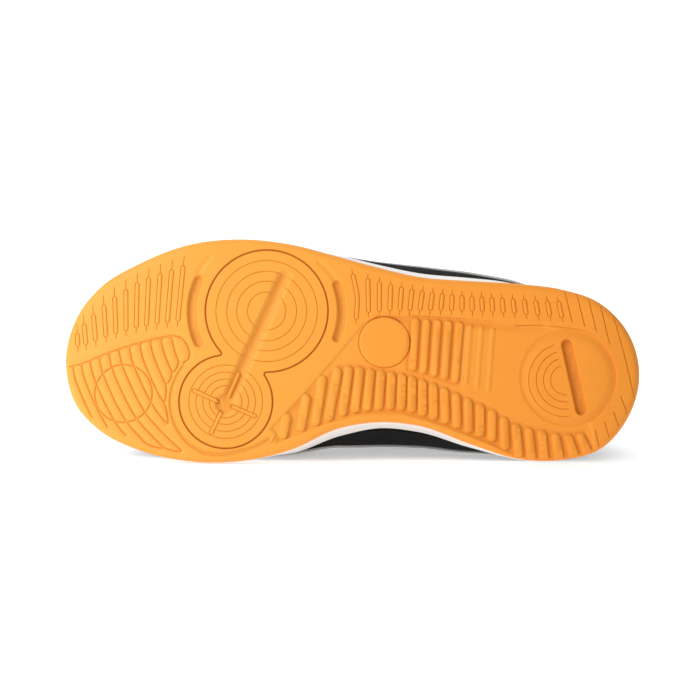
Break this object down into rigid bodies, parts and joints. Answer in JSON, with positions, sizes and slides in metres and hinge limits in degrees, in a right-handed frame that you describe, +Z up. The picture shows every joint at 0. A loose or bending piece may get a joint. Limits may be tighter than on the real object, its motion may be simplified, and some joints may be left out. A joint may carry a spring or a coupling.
{
  "type": "indoor hockey shoe",
  "caption": "Low indoor court shoe for the left foot, gum rubber tread with pivot circles, pale foam midsole, dark textile upper, lying on its inner side",
  "frame": {"origin": "on the floor, under the middle of the box of the lying shoe", "axes": "X along the foot with the toe towards -X; Y from the tread at the front to the collar at the back; Z up, from the inner to the outer side of the foot"},
  "size_m": [0.288, 0.12, 0.1104],
  "materials": {
    "gum_rubber": "matte moulded gum rubber",
    "pale_foam": "matte moulded foam",
    "sock_foam": "brushed textile on foam",
    "dark_textile": "dense matte textile",
    "tongue_textile": "matte padded textile",
    "lace_cord": "flat woven cord"
  },
  "bodies": {
    "root": {"outsole": "gum_rubber", "midsole": "pale_foam", "insole": "sock_foam", "upper": "dark_textile", "tongue": "tongue_textile", "lace_bar_1": "lace_cord", "lace_bar_2": "lace_cord", "lace_bar_3": "lace_cord", "lace_bar_4": "lace_cord", "lace_bar_5": "lace_cord", "lace_bar_6": "lace_cord"}
  },
  "joints": []
}
